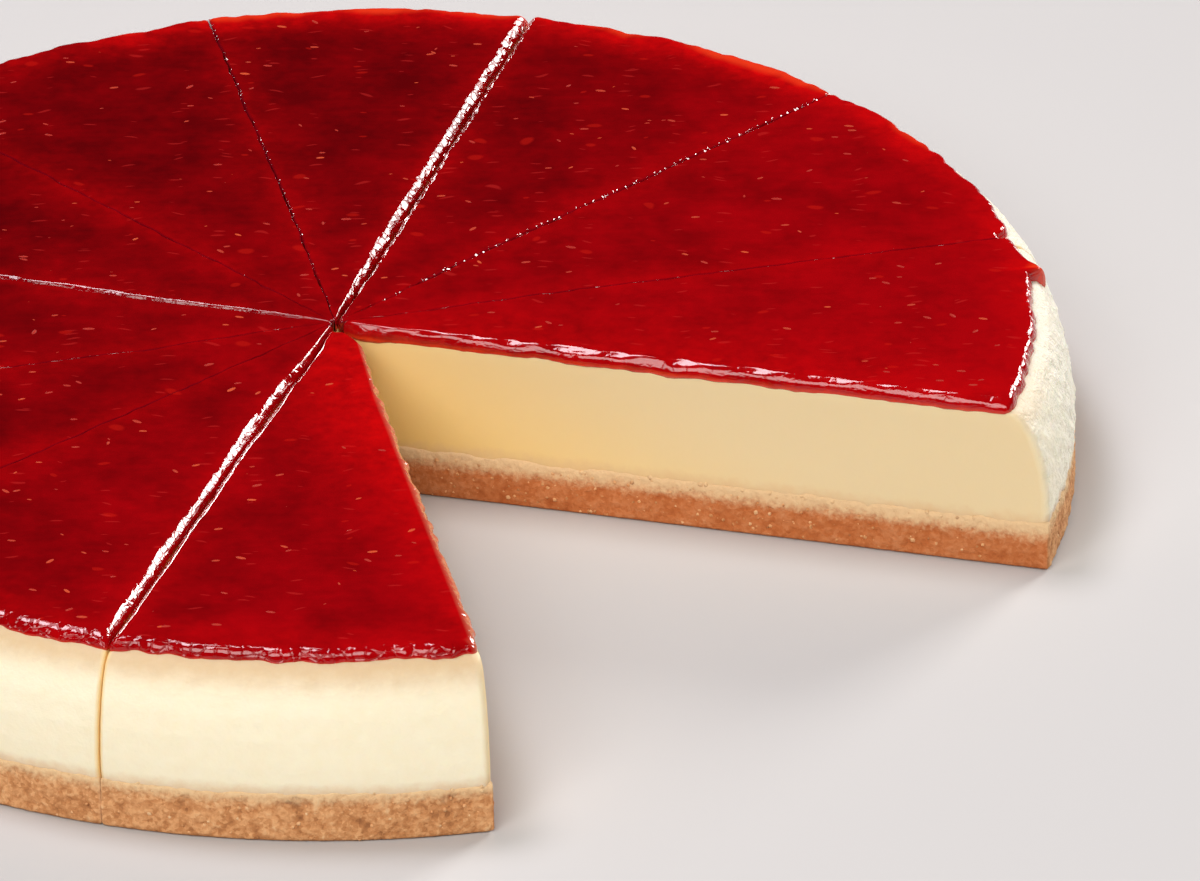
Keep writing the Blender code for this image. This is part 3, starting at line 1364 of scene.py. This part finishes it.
@dataclass
class CheeseFilling:
    """Smooth filling with a rounded shoulder and a crinkled skin at the right.

    Args:
        step: distance between two points on the outer wall.
        skin: depth of the crinkles where the skin is roughest.
        shown: points on an open face.
        hidden: points on a closed cut face.
        arc: length of the outer arc.
        rounds: radius of a corner at a closed and at an open face.
        shoulder: height and inset of the rings of the shoulder.
    """

    step: float = 0.55
    skin: float = 0.56
    shown: int = 110
    hidden: int = 34
    arc: float = 66.0
    rounds: tuple[float, float] = (0.8, 1.5)
    shoulder: tuple[tuple[float, float], ...] = (
        (26.4, 0.0),
        (27.2, 0.0),
        (28.0, 0.0),
        (28.7, 0.0),
        (29.3, 0.03),
        (29.8, 0.08),
        (30.15, 0.16),
        (30.45, 0.3),
        (30.65, 0.5),
        (30.78, 0.8),
        (30.8, 1.2),
    )

    def build(self, number: int, material: Material) -> Piece:
        """Builds the filling of one slice.

        Args:
            number: slice number from 0.
            material: its finish.

        Returns:
            The piece.
        """
        spacing = Spacing(
            tip=10,
            first=self.shown if is_open(number, False) else self.hidden,
            corner=8,
            rim=int(self.arc / self.step),
            last=self.shown if is_open(number, True) else self.hidden,
        )
        outline = WedgeOutline(number, spacing)
        grain = Grain(Pattern.SKIN)
        rim = spacing.rim_share()
        slit = self._slit(outline, spacing)
        corners = [self.rounds[cut.free] for cut in (outline.first, outline.last)]
        shell = Shell()
        profile = [(SIZES.wall[0][0], 3.0)]
        profile += [(height, 0.0) for height in np.arange(SIZES.wall[0][0], 25.6, self.step)]
        for height, inset in (*profile, *self.shoulder):
            under = inset if inset > 2.0 else 0.0
            radius = float(SIZES.wall_radius(np.array([height]))[0]) - under
            loop = outline.loop(
                lambda turns, radius=radius: np.full(len(turns), radius),
                0.0,
                (inset, inset),
                (0.35, *corners),
                (SIZES.gap(outline.first), SIZES.gap(outline.last)),
            )
            self._add_ring(shell, loop, height, rim, slit, grain)
        for share in (0.12, 0.5):
            loop = outline.narrowed(shell.rings[-1], share)
            shell.add(loop, SIZES.filling_top, wall=0.0, crinkle=0.0, slit=0.0)
        return shell.to_object(f"cheese_layer_{number + 1:02d}", material)

    @staticmethod
    def _slit(outline: WedgeOutline, spacing: Spacing) -> Array:
        """How near each point is to a closed cut.

        Args:
            outline: outline of the slice.
            spacing: points on each stretch.

        Returns:
            From 0 to 1 for each point.
        """
        zones, rim = spacing.zones(), spacing.rim_share()
        slit = np.zeros(spacing.total)
        for cut, zone in ((outline.first, Zone.FIRST_CORNER), (outline.last, Zone.LAST_CORNER)):
            if not cut.free:
                corner = zones == zone.value
                slit[corner] = 1.0 - rim[corner]
        return slit

    def _add_ring(
        self, shell: Shell, loop: Array, height: float, rim: Array, slit: Array, grain: Grain
    ) -> None:
        """Adds one ring with its skin relief.

        Args:
            shell: where it goes.
            loop: plan of the ring.
            height: its height.
            rim: how much each point belongs to the outer wall.
            slit: how near each point is to a closed cut.
            grain: the noise.
        """
        turn = azimuth(loop)
        rough = 0.16 + 0.84 * np.clip(bell(turn, 6.0, 24.0) * 1.3, 0.0, 1.0)
        rough = rough * rim
        points = at_height(loop, height)
        upright = points * [1.0, 1.0, 1.15]
        creases = 0.7 * grain.cloud(upright, 2.9) + 0.45 * grain.cloud(upright + 7, 1.5)
        creases += 0.5 * (grain.clumps(upright + 13, 2.2) - 0.45)
        swell = 0.10 * grain.cloud(points, 13.0)
        out = outward_normals(loop) * (self.skin * creases * rough + swell * (0.4 + 0.6 * rim))[:, None]
        shell.add(kept_inside(loop + out), height, wall=rim, crinkle=rough, slit=slit)


@dataclass
class RaspberryJelly:
    """Jelly sheet with a torn edge along each cut and a round rim.

    Args:
        step: distance between two points along the edge.
        band: width of the round of the rim.
        wrinkle: depth of the wrinkles of a torn edge.
        wander: how far the edge beside the gap strays from a straight line.
        sway: how far the edges of the closed cuts wander.
        face: length of a cut face.
        arc: length of the outer arc.
        slopes: slope of the edge at each ring in degrees, first its underside.
        shares: how far each ring of the top is from the edge to the middle of the slice.
        tip_round: radius of the tip.
        rounds: radius of a corner at a closed and at an open face.
        tongue: where a tongue of jelly runs over the shoulder, in degrees.
        bite: middle and half width of a bite in the rim, in degrees.
        lit: middle, width and strength of each stretch of the rim with a painted glow of light coming
            through.
    """

    step: float = 0.42
    band: float = 3.0
    wrinkle: float = 0.36
    wander: float = 0.55
    sway: float = 0.42
    face: float = 118.0
    arc: float = 62.0
    slopes: tuple[float, ...] = (-1.0, 0.0, 9.0, 18.0, 27.0, 36.0, 45.0, 54.0, 63.0, 72.0, 81.0, 90.0)
    shares: tuple[float, ...] = (0.0, 0.08, 0.2, 0.35, 0.55, 0.78)
    tip_round: float = 0.25
    rounds: tuple[float, float] = (0.7, 1.3)
    tongue: tuple[float, float] = (5.3, 9.6)
    bite: tuple[float, float] = (12.4, 0.75)
    lit: tuple[Triple, ...] = ((53.0, 31.0, 1.75), (3.0, 14.0, 0.5), (98.0, 24.0, 1.6))

    def rim(self, turns: Array) -> Array:
        """Uneven outer radius of the jelly.

        Args:
            turns: angles in radians.

        Returns:
            Radius at each angle.
        """
        spots = np.stack([np.cos(turns), np.sin(turns), np.zeros(len(turns))], axis=1) * SIZES.jelly_rim
        grain = Grain(Pattern.JELLY_RIM)
        wave = 0.55 * grain.cloud(spots, 17.0) + 0.5 * grain.cloud(spots + 5, 6.0)
        wave += 0.42 * grain.cloud(spots, 2.8)
        degrees = np.degrees(np.arctan2(spots[:, 1], spots[:, 0]))
        back = np.clip(np.sin(turns), 0.0, 1.0)
        far = back * (1.1 + 0.9 * grain.cloud(spots + 50, 9.0))
        return SIZES.jelly_rim + wave + far + 3.0 * self._lip(degrees) - 2.1 * bell(degrees, *self.bite)

    def _lip(self, degrees: Array) -> Array:
        """Where a tongue of jelly runs over the shoulder.

        Args:
            degrees: angles round the cake.

        Returns:
            From 0 to 1 on the tongue.
        """
        start, end = self.tongue
        root = np.clip((end - degrees) / 3.9, 0.0, 1.0) ** 1.3
        return root * np.clip((degrees - start) / 0.5, 0.0, 1.0)

    def build(self, number: int, material: Material) -> Piece:
        """Builds the jelly of one slice.

        Args:
            number: slice number from 0.
            material: its finish.

        Returns:
            The piece.
        """
        side, arc = int(self.face / self.step), int(self.arc / self.step)
        spacing = Spacing(tip=14, first=side, corner=9, rim=arc, last=side)
        outline = WedgeOutline(number, spacing)
        grain = Grain(Pattern.WRINKLES)
        first, last = outline.first, outline.last
        rim, late = spacing.rim_share(), spacing.last_share()
        wet = outline.blend(first.wet, last.wet) * (1.0 - rim) + 0.85 * rim
        groove = outline.blend(first.groove, last.groove)
        # Mask of painted shade in the narrow cuts.
        narrow = 0.6 * (1.0 - np.clip(groove - 0.6, 0.0, 1.0)) * (1.0 - rim)
        chamfer = 1.0 + (outline.blend(first.chamfer, last.chamfer) - 1.0) * (1.0 - rim)
        shallow = SIZES.jelly_top - 1.15 * groove - 3.0 * rim
        gaps = (first.parting, last.parting)
        rounds = (self.tip_round, *(self.rounds[cut.free] for cut in (first, last)))
        free = outline.blend(first.free, last.free) * (1.0 - rim)
        middle = (first.angle + last.angle) / 2.0
        band = self.band * (0.55 + 0.45 * float(bell(np.array(middle), 237.0, 28.0)))
        shell = Shell()
        loop = outline.loop(self.rim, 5.0, (3.0, 3.0), rounds, gaps, self.sway)
        stroke = outline.blend(first.stroke, last.stroke) * (1.0 - rim) + rim
        run = np.cumsum(np.linalg.norm(np.roll(loop, -1, axis=0) - loop, axis=1) / stroke)
        deep = wet * (0.5 + 0.38 * stroke)
        shell.add(loop, SIZES.filling_top - 0.5, edge=0.0, wet=0.0, crease=0.0, lit_glow=0.0, pale=0.0)
        for slope in self.slopes:
            turn = math.radians(max(slope, 0.0))
            under = 0.15 if slope < 0.0 else 0.0
            insets = tuple(
                cut.groove * (1.0 + under - math.cos(turn) ** cut.chamfer) for cut in (first, last)
            )
            rim_inset = band * (1.0 + under - math.cos(turn))
            loop = outline.loop(self.rim, rim_inset, insets, rounds, gaps, self.sway)
            foot = self._foot(loop, rim, free, grain) - under
            foot = foot if slope < 0.0 else np.maximum(foot, shallow)
            heights = foot + (SIZES.jelly_top - foot) * math.sin(turn) ** chamfer
            lit_glow = self._lit_glow(loop, number)
            tongue = rim * self._lip(azimuth(loop))
            pale = (free * late * float(last.free) + 0.45 * tongue) * max(0.0, math.cos(turn * 1.15))
            # Painted glow of light coming through the tongue.
            lit_glow = np.maximum(lit_glow, 1.5 * tongue)
            marks = {"wet": wet, "deep": deep, "crease": narrow, "lit_glow": lit_glow, "pale": pale}
            upper = float(bell(np.array(slope), 64.0, 14.0))
            ledge = free * (1.0 - late) * float(first.free) * upper
            self._add_edge_ring(shell, loop, heights, turn, marks, free, run, ledge, grain)
        insets = (first.groove + 1.2, last.groove + 1.2)
        calm_rim = SIZES.jelly_rim - 6.5
        calm = outline.loop(lambda turns: np.full(len(turns), calm_rim), 0.0, insets, rounds, gaps)
        self._add_top(shell, [outline.narrowed(calm, share) for share in self.shares], wet, number, grain)
        return shell.to_object(f"raspberry_sheet_{number + 1:02d}", material)

    def _add_top(self, shell: Shell, loops: list[Array], wet: Array, number: int, grain: Grain) -> None:
        """Adds the rings of the flat top.

        Args:
            shell: where they go.
            loops: plan of each ring.
            wet: how wrinkled the edge is at each point.
            number: slice number from 0.
            grain: the noise.
        """
        for share, loop in zip(self.shares, loops):
            level = SIZES.jelly_top + 0.05 * grain.cloud(at_height(loop), 14.0)
            near = 0.36 * math.exp(-share * 5.0)
            fading = wet * max(0.0, 0.12 - share)
            lit_glow = self._lit_glow(loop, number)
            shell.add(loop, level, edge=near, wet=fading, crease=0.0, lit_glow=lit_glow, pale=0.0)

    @staticmethod
    def _foot(loop: Array, rim: Array, free: Array, grain: Grain) -> Array:
        """Height at which the jelly meets the filling.

        Args:
            loop: plan of a ring.
            rim: how much each point belongs to the rim.
            free: how much each point belongs to an open face.
            grain: the noise.

        Returns:
            Height at each point.
        """
        radius = np.linalg.norm(loop, axis=1)
        points = at_height(loop)
        droop = 0.38 + 0.30 * grain.cloud(points, 4.2) + 0.16 * grain.cloud(points + 3, 1.9)
        hang = free * (0.25 + 0.45 * np.clip(grain.cloud(points + 8, 13.0), 0.0, 1.0))
        at_cut = SIZES.filling_top - droop - hang
        at_rim = SIZES.shoulder_height(radius) - 0.12 - 0.4 * droop
        return at_cut * (1.0 - rim) + at_rim * rim

    def _lit_glow(self, loop: Array, number: int) -> Array:
        """How strongly the painted glow of light coming through the jelly shows near its free edges.

        Args:
            loop: plan of a ring.
            number: slice number from 0.

        Returns:
            From 0 to 1, and up to 1.5 where the sun comes through.
        """
        turn = azimuth(loop)
        depth = np.clip(self.rim(np.radians(turn)) - np.linalg.norm(loop, axis=1), 0.0, None)
        side = sum((strength * bell(turn, middle, width) for middle, width, strength in self.lit), 0.22)
        patchy = 0.75 + 0.45 * Grain(Pattern.GLOW).cloud(at_height(loop), 16.0)
        glow = side * patchy * np.exp(-((depth / 6.0) ** 1.3))
        # Painted glow of light coming through the jelly along the edges beside the gap.
        spot = loop - np.array(SIZES.centre)
        if number == SIZES.slices - 1:
            reach = spot @ CUTS[-1].along
            room = np.clip(CUTS[-1].miss - spot @ CUTS[-1].normal, 0.0, None)
            spread = 6.0 + 11.0 * bell(reach, 22.0, 42.0)
            strength = 0.62 + 0.36 * bell(reach, 25.0, 45.0)
            glow = np.maximum(glow, strength * np.exp(-((room / spread) ** 1.5)))
        if number == 0:
            room = np.clip(spot @ CUTS[0].normal - CUTS[0].miss, 0.0, None)
            glow = np.maximum(glow, 0.56 * np.exp(-room / 14.0))
        return np.clip(glow, 0.0, 1.5)

    def _add_edge_ring(
        self,
        shell: Shell,
        loop: Array,
        heights: Array,
        turn: float,
        marks: dict[str, Array],
        free: Array,
        run: Array,
        ledge: Array,
        grain: Grain,
    ) -> None:
        """Adds one ring of the torn edge.

        Args:
            shell: where it goes.
            loop: plan of the ring.
            heights: height of each point.
            turn: slope of the edge at this ring, in radians.
            marks: named values of each point.
            free: how much each point belongs to an open face.
            run: distance along the loop.
            ledge: how much of the broken ledge each point shows.
            grain: the noise.
        """
        flat = at_height(loop)
        local = np.column_stack([run, np.full(len(loop), 2.0 * turn), np.full(len(loop), loop[0, 0])])
        lumps = grain.clumps(local, 2.1) - 0.45
        small = grain.clumps(local + 17.0, 1.3) - 0.45
        waves = 0.75 * grain.cloud(local, 4.2) + 0.25 * grain.cloud(local + 3, 1.8)
        fade = 1.0 - 0.75 * (turn / (math.pi / 2.0)) ** 4
        amount = self.wrinkle * marks["deep"] * (0.6 * lumps + 0.2 * small + 0.8 * waves) * fade
        sway = grain.cloud(flat + 31.0, 9.0) + (0.4 + 0.8 * marks["pale"]) * grain.cloud(flat + 60.0, 3.0)
        sway += 1.3 * marks["pale"] * grain.cloud(flat + 77.0, 1.5)
        stray = self.wander * np.clip(sway + 0.15, -0.05, 1.0) * free * math.cos(turn)
        normals = outward_normals(loop) * math.cos(turn)
        moved = loop + normals * (np.clip(amount, -0.5, 0.34) + stray)[:, None]
        shelf = ledge * 0.27 * np.tanh(2.6 * grain.cloud(local * [1.0, 0.0, 0.0] + 90.0, 2.3))
        raised = np.minimum(heights - shelf + amount * math.sin(turn), SIZES.jelly_top + 0.14)
        depth = 1.0 - math.sin(turn)
        # Painted shade, deepest low in a narrow cut.
        crease = np.clip(depth * 2.2, 0.0, 1.0) * marks["crease"]
        shell.add(
            moved,
            raised,
            edge=0.5 + 0.5 * depth,
            wet=marks["wet"] * fade,
            crease=crease,
            lit_glow=marks["lit_glow"],
            pale=marks["pale"],
        )


@dataclass
class RaspberrySeeds:
    """Seeds that lie in the jelly and just break its surface.

    Args:
        each: seeds on one slice.
        length: half length of a seed.
        width: half width of a seed.
        depth: half height of a seed.
        sizes: smallest and largest size of a seed.
        proud: least and greatest height above the jelly.
        room: least distance from an edge of the jelly.
    """

    each: int = 31
    length: float = 1.35
    width: float = 0.52
    depth: float = 0.22
    sizes: tuple[float, float] = (0.6, 1.15)
    proud: tuple[float, float] = (0.02, 0.07)
    room: float = 1.4

    def build(self, material: Material) -> Piece:
        """Scatters the seeds.

        Args:
            material: their finish.

        Returns:
            The piece.
        """
        draw = np.random.default_rng(Pattern.SEEDS.value)
        shape = bmesh.new()
        bmesh.ops.create_uvsphere(shape, u_segments=9, v_segments=5, radius=MM)
        heap = Heap(shape)
        for number in range(SIZES.slices):
            for place in self._places(number, draw):
                self._seed(heap, place, draw)
        return heap.to_object("raspberry_seeds", material)

    def _places(self, number: int, draw: np.random.Generator) -> list[Array]:
        """Free places on one slice.

        Args:
            number: slice number from 0.
            draw: source of the random draws.

        Returns:
            The places.
        """
        first, last = CUTS[number], CUTS[number + 1]
        centre = np.array(SIZES.centre)
        places: list[Array] = []
        while len(places) < self.each:
            turn = math.radians(draw.uniform(first.angle, last.angle))
            reach = SIZES.jelly_rim * math.sqrt(draw.uniform(0.008, 1.0))
            spot = centre + reach * np.array([math.cos(turn), math.sin(turn)])
            room_first = float((spot - centre) @ first.normal) - first.miss - first.groove
            room_last = float((spot - centre) @ -last.normal) + last.miss - last.groove
            room_rim = SIZES.jelly_rim - 2.4 - float(np.linalg.norm(spot))
            if min(room_first, room_last, room_rim) > self.room:
                places.append(spot)
        return places

    def _seed(self, heap: Heap, place: Array, draw: np.random.Generator) -> None:
        """Adds one seed.

        Args:
            heap: where it goes.
            place: its place on the jelly.
            draw: source of the random draws.
        """
        size = draw.uniform(*self.sizes)
        proud = draw.uniform(*self.proud)
        turn = Matrix.Rotation(draw.normal(0.0, 0.55), 4, "Z")
        stretch = Matrix.Diagonal((self.length * size, self.width * size, self.depth, 1.0))
        level = SIZES.jelly_top + proud - self.depth
        heap.add((place[0], place[1], level), turn @ stretch, draw.random() ** 2.2)


@dataclass
class LooseCrumbs:
    """Crumbs that cling to the base where it shows.

    Args:
        on_wall: crumbs on the outer wall.
        on_face: crumbs on each open cut face.
        wall_sizes: smallest and largest radius of a crumb on the wall.
        face_sizes: smallest and largest radius of a crumb on a face.
        stretch: where on a face the crumbs start and end.
        sunk: how far they sink into a face.
    """

    on_wall: int = 900
    on_face: int = 260
    wall_sizes: tuple[float, float] = (0.22, 0.5)
    face_sizes: tuple[float, float] = (0.22, 0.62)
    stretch: tuple[float, float] = (9.0, 119.0)
    sunk: float = 0.17

    def build(self, material: Material) -> Piece:
        """Scatters the crumbs.

        Args:
            material: their finish.

        Returns:
            The piece.
        """
        draw = np.random.default_rng(Pattern.LOOSE_CRUMBS.value)
        shape = bmesh.new()
        bmesh.ops.create_icosphere(shape, subdivisions=1, radius=MM)
        heap = Heap(shape)
        span = (CUTS[0].angle, CUTS[-1].angle)
        for _ in range(self.on_wall):
            turn = math.radians(draw.uniform(span[0] + 0.4, span[1] - 0.4))
            size = draw.uniform(*self.wall_sizes)
            radius = SIZES.base_radius - size * draw.uniform(0.2, 0.8)
            radius = min(radius, SIZES.base_limit - size * 1.1)
            spot = (radius * math.cos(turn), radius * math.sin(turn))
            self._crumb(heap, spot, draw.uniform(size * 1.15, SIZES.base_top), size, 0.25, draw)
        for cut, side in ((CUTS[0], 1.0), (CUTS[-1], -1.0)):
            for _ in range(self.on_face):
                reach = draw.uniform(*self.stretch)
                size = draw.uniform(*self.face_sizes)
                offset = SIZES.free_kerf - self.sunk + size * draw.uniform(0.25, 0.7)
                across = float(SIZES.across(cut, np.array(reach))) + side * offset
                spot = np.array(SIZES.centre) + cut.along * reach + cut.normal * across
                self._crumb(heap, spot, draw.uniform(size * 1.15, SIZES.base_top - 0.2), size, 0.05, draw)
        return heap.to_object("loose_crumbs", material)

    @staticmethod
    def _crumb(
        heap: Heap, spot: Array, height: float, size: float, tone: float, draw: np.random.Generator
    ) -> None:
        """Adds one crumb.

        Args:
            heap: where it goes.
            spot: its place seen from above.
            height: its height.
            size: its radius.
            tone: its darkest tone.
            draw: source of the random draws.
        """
        shape = Matrix.Diagonal((*(size * draw.uniform(0.75, 1.1, 3)), 1.0))
        turn = Matrix.Rotation(draw.uniform(0.0, math.tau), 4, Vector(draw.normal(size=3)))
        heap.add((spot[0], spot[1], max(height, size * 1.15)), turn @ shape, tone + 0.5 * draw.random())


@dataclass(frozen=True)
class SoftLight:
    """Soft studio light that faces the cake.

    Args:
        name: its name.
        side: its direction in degrees from +X.
        rise: its height in degrees.
        reach: its distance in metres.
        size: its width and height in metres.
        radiance: how bright its face is.
        colour: its colour.
        mirrored: whether the jelly mirrors it.
    """

    name: str
    side: float
    rise: float
    reach: float
    size: tuple[float, float]
    radiance: float
    colour: Triple
    mirrored: bool = True

    def hang(self) -> None:
        """Hangs the light."""
        lamp = bpy.data.lights.new(self.name, "AREA")
        lamp.shape = "RECTANGLE"
        lamp.size, lamp.size_y = self.size
        lamp.energy = self.radiance * math.pi * self.size[0] * self.size[1]
        lamp.color = self.colour
        turn, lift = math.radians(self.side), math.radians(self.rise)
        flat = math.cos(lift)
        away = Vector((flat * math.cos(turn), flat * math.sin(turn), math.sin(lift)))
        holder = bpy.data.objects.new(self.name, lamp)
        facing = away.to_track_quat("Z", "Y").to_matrix().to_4x4()
        holder.matrix_world = Matrix.Translation(away * self.reach) @ facing
        holder.visible_glossy = self.mirrored
        bpy.context.scene.collection.objects.link(holder)


LIGHTS = (
    SoftLight("window", 49.0, 22.0, 2.6, (0.84, 0.84), 24.0, (1.0, 0.985, 0.96)),
    SoftLight("strip", 109.0, 10.0, 2.6, (0.42, 0.26), 18.0, (1.0, 0.985, 0.97)),
    SoftLight("overhead", 144.0, 70.0, 1.7, (0.62, 0.50), 16.0, (0.97, 0.93, 1.0)),
    SoftLight("front", -105.0, 42.0, 2.2, (1.9, 1.1), 6.9, (1.0, 0.985, 0.96)),
    SoftLight("side", -15.0, 24.0, 2.4, (1.2, 0.8), 1.7, (1.0, 0.985, 0.95), mirrored=False),
)


@dataclass
class Studio:
    """Pale floor, soft studio lights and the camera.

    Args:
        lens: focal length for a sensor 36 mm wide.
        eye: place of the camera, in millimetres.
        pitch: how far it looks down, in degrees.
        roll: how far it leans, in degrees.
        floor: colour of the floor.
        drop: how far the floor lies under the cake, in metres.
        sky: colour of the surroundings.
        glow: how bright the surroundings are.
    """

    lens: float = 300.0
    eye: Triple = (44.257, -1577.807, 866.822)
    pitch: float = 28.6258
    roll: float = -0.9988
    floor: Triple = (0.56, 0.545, 0.535)
    drop: float = 0.0002
    sky: Triple = (0.9, 0.95, 1.0)
    glow: float = 0.005

    def build(self) -> None:
        """Sets up everything that isn't the cake."""
        self._floor()
        self._world()
        for light in LIGHTS:
            light.hang()
        self._camera()
        bpy.context.scene.view_settings.view_transform = "Standard"

    def _floor(self) -> None:
        """Lays the floor."""
        ground = bmesh.new()
        bmesh.ops.create_grid(ground, x_segments=2, y_segments=2, size=3.0)
        bmesh.ops.translate(ground, verts=ground.verts, vec=(0.0, 0.0, -self.drop))
        material, _, shader = new_material("pale_floor")
        shader.inputs["Base Color"].default_value = (*self.floor, 1.0)
        shader.inputs["Roughness"].default_value = 0.8
        shader.inputs["Specular IOR Level"].default_value = 0.1
        floor = finish_mesh(ground, "floor", material)

    def _world(self) -> None:
        """Keeps the surroundings dark, so that the flat jelly stays deep red."""
        world = bpy.data.worlds.new("studio")
        world.use_nodes = True
        background = world.node_tree.nodes["Background"]
        background.inputs["Color"].default_value = (*self.sky, 1.0)
        background.inputs["Strength"].default_value = self.glow
        bpy.context.scene.world = world

    def _camera(self) -> None:
        """Places the camera."""
        pitch, roll = math.radians(self.pitch), math.radians(self.roll)
        forward = Vector((0.0, math.cos(pitch), -math.sin(pitch)))
        level = Vector((1.0, 0.0, 0.0))
        upright = level.cross(forward)
        right = math.cos(roll) * level + math.sin(roll) * upright
        top = -math.sin(roll) * level + math.cos(roll) * upright
        camera = bpy.data.cameras.new("camera")
        camera.lens = self.lens
        camera.sensor_width = 36.0
        camera.sensor_fit = "HORIZONTAL"
        camera.clip_start, camera.clip_end = 0.05, 50.0
        holder = bpy.data.objects.new("camera", camera)
        turn = Matrix((right, top, -forward)).transposed().to_4x4()
        holder.matrix_world = Matrix.Translation(Vector(self.eye) * MM) @ turn
        bpy.context.scene.collection.objects.link(holder)
        bpy.context.scene.camera = holder


@dataclass
class Cheesecake:
    """The whole cake.

    Args:
        biscuit: the crumb bases.
        filling: the cheese fillings.
        jelly: the jelly sheets.
        seeds: seeds in the jelly.
        crumbs: crumbs on the base.
    """

    biscuit: BiscuitBase = field(default_factory=BiscuitBase)
    filling: CheeseFilling = field(default_factory=CheeseFilling)
    jelly: RaspberryJelly = field(default_factory=RaspberryJelly)
    seeds: RaspberrySeeds = field(default_factory=RaspberrySeeds)
    crumbs: LooseCrumbs = field(default_factory=LooseCrumbs)

    def build(self) -> None:
        """Builds and dresses every piece."""
        patterns = FoodPatterns()
        crumb = BiscuitFinish().material(patterns, "biscuit_crumb", loose=False)
        cheese = FillingFinish().material(patterns)
        gloss = JellyFinish().material(patterns)
        for number in range(SIZES.slices):
            self._place(self.biscuit.build(number, crumb), Layer.BISCUIT, "biscuit", number)
            self._place(self.filling.build(number, cheese), Layer.FILLING, "cheese_filling", number)
            self._place(self.jelly.build(number, gloss), Layer.JELLY, "raspberry_jelly", number)
        self._attach(self.seeds.build(SeedFinish().material(patterns)), "raspberry_jelly")
        loose = BiscuitFinish().material(patterns, "loose_crumb", loose=True)
        self._attach(self.crumbs.build(loose), "biscuit")

    def _place(self, piece: Piece, layer: Layer, slot: str, number: int) -> None:
        """Lets a piece stand for its solid.

        Args:
            piece: the piece.
            layer: layer of its solid.
            slot: name of its finish slot.
            number: slice number from 0.
        """
        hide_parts(f"{layer.value}_{number + 1:02d}")
        self._attach(piece, slot)

    @staticmethod
    def _attach(piece: Piece, slot: str) -> None:
        """Fixes a piece to the cake.

        Args:
            piece: the piece.
            slot: name of its finish slot, not used.
        """
        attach(piece, "root")
        LOG.info("%s: %d faces", piece.name, len(piece.data.polygons))


def main() -> None:
    """Builds the scene."""
    logging.basicConfig(level=logging.INFO, format="%(message)s")
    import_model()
    Cheesecake().build()
    Studio().build()


if __name__ == "__main__":
    main()
